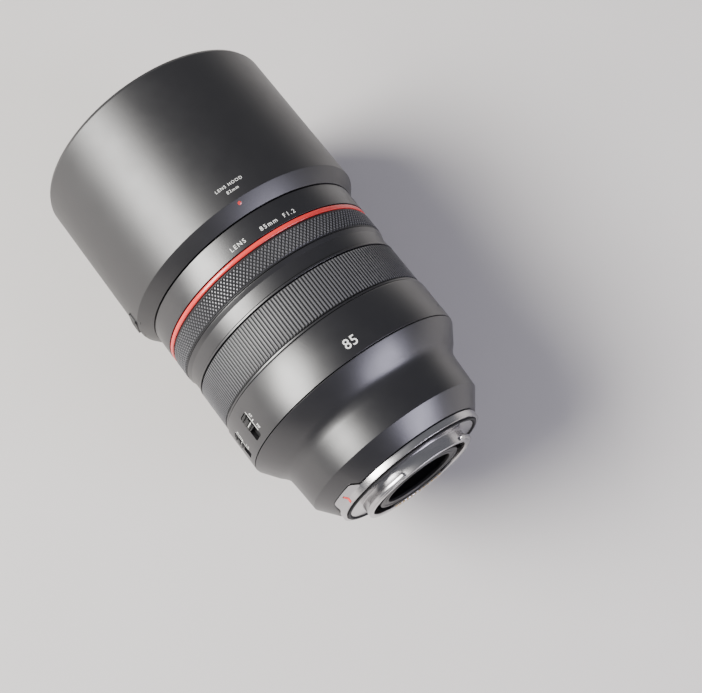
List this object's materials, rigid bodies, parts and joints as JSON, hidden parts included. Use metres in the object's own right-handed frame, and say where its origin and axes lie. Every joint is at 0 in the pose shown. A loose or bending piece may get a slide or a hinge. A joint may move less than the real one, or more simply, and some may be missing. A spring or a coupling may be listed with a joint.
{
  "type": "camera lens",
  "caption": "Fast prime camera lens with a bayonet mount, focus and control rings, a slim coloured ring and a deep twist-on hood.",
  "frame": {"origin": "centre of the mount's flange, on the optical axis", "axes": "+Y points out of the rear of the lens toward the camera, -Y toward the scene, +Z is the top, where the focal length is printed"},
  "size_m": [0.1133, 0.1937, 0.1128],
  "materials": {
    "black_paint": "satin black paint",
    "hood_paint": "fine matte black",
    "black_plastic": "matte black moulding",
    "black_rubber": "matte rubber",
    "black_knurl": "fine diamond knurl, black",
    "black_flock": "black flocking",
    "satin_metal": "satin silver plating",
    "machined_alloy": "machined, dark anodised",
    "screw_steel": "plated steel",
    "motor_steel": "bare spring and motor steel",
    "motor_brass": "bare",
    "gilt_contact": "gold flashed",
    "circuit_board": "green board lacquer",
    "blade_steel": "thin steel, dull black",
    "red_enamel": "glossy red",
    "coated_glass": "coated optical glass"
  },
  "bodies": {
    "barrel": {"bayonet_mount": "satin_metal", "mount_collar": "satin_metal", "mount_index_bead": "red_enamel", "mount_seal": "black_rubber", "mount_screw_1": "screw_steel", "mount_screw_2": "screw_steel", "mount_screw_3": "screw_steel", "mount_screw_4": "screw_steel", "rear_baffle": "black_plastic", "contact_block": "black_plastic", "contact_strip": "gilt_contact", "main_board": "circuit_board", "rear_cover": "black_paint", "switch_barrel": "black_paint", "switch_board": "circuit_board", "rear_barrel": "machined_alloy", "rear_cell": "black_plastic", "guide_barrel": "machined_alloy", "main_barrel": "machined_alloy", "usm_stator": "motor_brass", "iris_housing": "black_plastic", "iris_cover": "black_plastic", "iris_motor": "motor_steel", "middle_ring": "black_paint", "red_ring": "red_enamel", "front_barrel": "black_paint", "front_cell": "black_plastic", "filter_ring": "black_paint", "lens_group_1": "coated_glass", "lens_group_2": "coated_glass", "lens_group_5": "coated_glass", "lens_group_6": "coated_glass", "lens_group_7": "coated_glass", "lens_group_8": "coated_glass", "lens_group_9": "coated_glass"},
    "focus_ring": {"focus_ring": "black_paint", "focus_grip": "black_rubber"},
    "control_ring": {"control_ring": "black_knurl"},
    "af_mf_switch": {"af_mf_knob": "black_plastic"},
    "limiter_switch": {"limiter_knob": "black_plastic"},
    "focus_drive": {"usm_rotor": "motor_steel", "cam_barrel": "machined_alloy"},
    "focus_group": {"focus_cell": "black_plastic", "lens_group_3": "coated_glass", "lens_group_4": "coated_glass"},
    "iris_drive": {"iris_drive_ring": "machined_alloy"},
    "hood": {"hood": "hood_paint", "hood_lining": "black_flock", "hood_index_dot": "red_enamel", "hood_button_spring": "motor_steel"},
    "hood_button": {"hood_button": "black_plastic"},
    "iris_blade_1": {"iris_blade_1": "blade_steel"},
    "iris_blade_2": {"iris_blade_2": "blade_steel"},
    "iris_blade_3": {"iris_blade_3": "blade_steel"},
    "iris_blade_4": {"iris_blade_4": "blade_steel"},
    "iris_blade_5": {"iris_blade_5": "blade_steel"},
    "iris_blade_6": {"iris_blade_6": "blade_steel"},
    "iris_blade_7": {"iris_blade_7": "blade_steel"},
    "iris_blade_8": {"iris_blade_8": "blade_steel"},
    "iris_blade_9": {"iris_blade_9": "blade_steel"}
  },
  "joints": [
    {"name": "focus_ring_turn", "type": "hinge", "parent": "barrel", "child": "focus_ring", "pos_m": [0, 0, 0], "axis": [0, -1, 0], "continuous": true},
    {"name": "control_ring_turn", "type": "hinge", "parent": "barrel", "child": "control_ring", "pos_m": [0, 0, 0], "axis": [0, -1, 0], "continuous": true},
    {"name": "af_mf_slide", "type": "slide", "parent": "barrel", "child": "af_mf_switch", "axis": [0, 1, 0], "range_m": [0, 0.0042]},
    {"name": "limiter_slide", "type": "slide", "parent": "barrel", "child": "limiter_switch", "axis": [0, 1, 0], "range_m": [0, 0.0042]},
    {"name": "focus_drive_turn", "type": "hinge", "parent": "barrel", "child": "focus_drive", "pos_m": [0, 0, 0], "axis": [0, 1, 0], "range_deg": [0, 80]},
    {"name": "focus_group_slide", "type": "slide", "parent": "barrel", "child": "focus_group", "axis": [0, -1, 0], "range_m": [0, 0.008]},
    {"name": "hood_twist", "type": "hinge", "parent": "barrel", "child": "hood", "pos_m": [0, 0, 0], "axis": [0, -1, 0], "range_deg": [0, 60]},
    {"name": "hood_button_press", "type": "slide", "parent": "hood", "child": "hood_button", "axis": [-1, 0, 0], "range_m": [0, 0.001], "stiffness_N_per_m": 1500},
    {"name": "iris_drive_turn", "type": "hinge", "parent": "barrel", "child": "iris_drive", "pos_m": [0, 0, 0], "axis": [0, 1, 0], "range_deg": [0, 24]},
    {"name": "iris_blade_1_swing", "type": "hinge", "parent": "barrel", "child": "iris_blade_1", "pos_m": [0.0366, -0.0571, 0], "axis": [0, -1, 0], "range_deg": [0, 36]},
    {"name": "iris_blade_2_swing", "type": "hinge", "parent": "barrel", "child": "iris_blade_2", "pos_m": [0.02804, -0.0575, 0.02353], "axis": [0, -1, 0], "range_deg": [0, 36]},
    {"name": "iris_blade_3_swing", "type": "hinge", "parent": "barrel", "child": "iris_blade_3", "pos_m": [0.00636, -0.0579, 0.03604], "axis": [0, -1, 0], "range_deg": [0, 36]},
    {"name": "iris_blade_4_swing", "type": "hinge", "parent": "barrel", "child": "iris_blade_4", "pos_m": [-0.0183, -0.0583, 0.0317], "axis": [0, -1, 0], "range_deg": [0, 36]},
    {"name": "iris_blade_5_swing", "type": "hinge", "parent": "barrel", "child": "iris_blade_5", "pos_m": [-0.03439, -0.0587, 0.01252], "axis": [0, -1, 0], "range_deg": [0, 36]},
    {"name": "iris_blade_6_swing", "type": "hinge", "parent": "barrel", "child": "iris_blade_6", "pos_m": [-0.03439, -0.0591, -0.01252], "axis": [0, -1, 0], "range_deg": [0, 36]},
    {"name": "iris_blade_7_swing", "type": "hinge", "parent": "barrel", "child": "iris_blade_7", "pos_m": [-0.0183, -0.0595, -0.0317], "axis": [0, -1, 0], "range_deg": [0, 36]},
    {"name": "iris_blade_8_swing", "type": "hinge", "parent": "barrel", "child": "iris_blade_8", "pos_m": [0.00636, -0.0599, -0.03604], "axis": [0, -1, 0], "range_deg": [0, 36]},
    {"name": "iris_blade_9_swing", "type": "hinge", "parent": "barrel", "child": "iris_blade_9", "pos_m": [0.02804, -0.0603, -0.02353], "axis": [0, -1, 0], "range_deg": [0, 36]}
  ],
  "couplings": [
    {"joint": "focus_group_slide", "follows": "focus_drive_turn", "m_per_rad": 0.0057295},
    {"joint": "iris_blade_1_swing", "follows": "iris_drive_turn", "ratio": 1.5},
    {"joint": "iris_blade_2_swing", "follows": "iris_drive_turn", "ratio": 1.5},
    {"joint": "iris_blade_3_swing", "follows": "iris_drive_turn", "ratio": 1.5},
    {"joint": "iris_blade_4_swing", "follows": "iris_drive_turn", "ratio": 1.5},
    {"joint": "iris_blade_5_swing", "follows": "iris_drive_turn", "ratio": 1.5},
    {"joint": "iris_blade_6_swing", "follows": "iris_drive_turn", "ratio": 1.5},
    {"joint": "iris_blade_7_swing", "follows": "iris_drive_turn", "ratio": 1.5},
    {"joint": "iris_blade_8_swing", "follows": "iris_drive_turn", "ratio": 1.5},
    {"joint": "iris_blade_9_swing", "follows": "iris_drive_turn", "ratio": 1.5}
  ]
}
